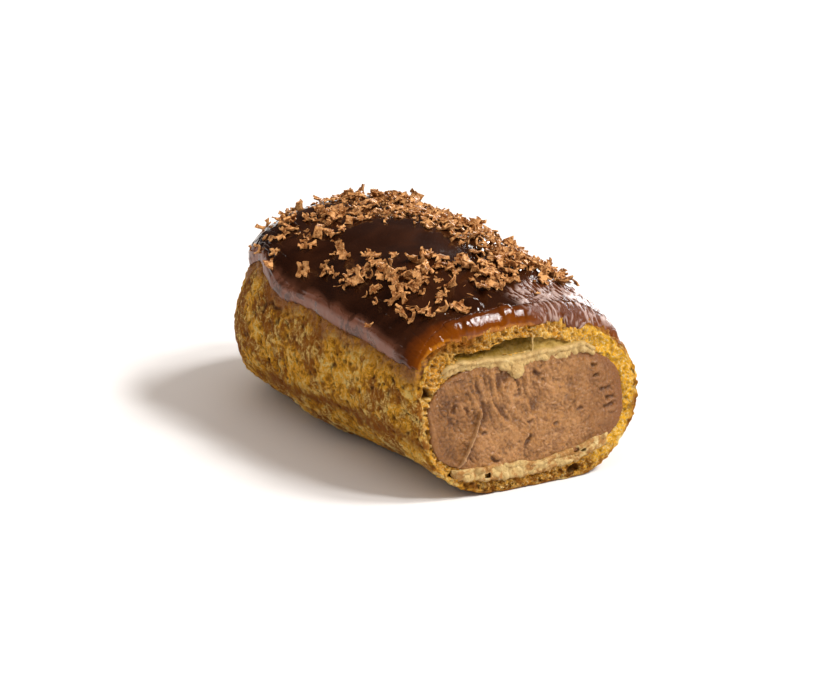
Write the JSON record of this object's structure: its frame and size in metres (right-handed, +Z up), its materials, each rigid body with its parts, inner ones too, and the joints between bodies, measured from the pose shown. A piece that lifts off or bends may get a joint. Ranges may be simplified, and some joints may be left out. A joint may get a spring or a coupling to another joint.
{
  "type": "half chocolate eclair",
  "caption": "Half of a filled chocolate eclair, cut across, with baked choux shell, chocolate cream and dark icing.",
  "frame": {"origin": "centre of the footprint on the plate, at the bottom centre of the bounding box", "axes": "+Z up, +Y along the eclair towards its uncut rounded end, so that the cut face looks to -Y, +X to the right of someone who looks at the cut"},
  "size_m": [0.0461, 0.0816, 0.0369],
  "materials": {
    "choux": "matte baked crust, golden brown, porous",
    "cream": "satin whipped milk chocolate cream",
    "icing": "glossy dark chocolate icing",
    "shavings": "matte milk chocolate"
  },
  "bodies": {
    "root": {"choux_shell": "choux", "cream_filling": "cream", "chocolate_icing": "icing"}
  },
  "joints": []
}
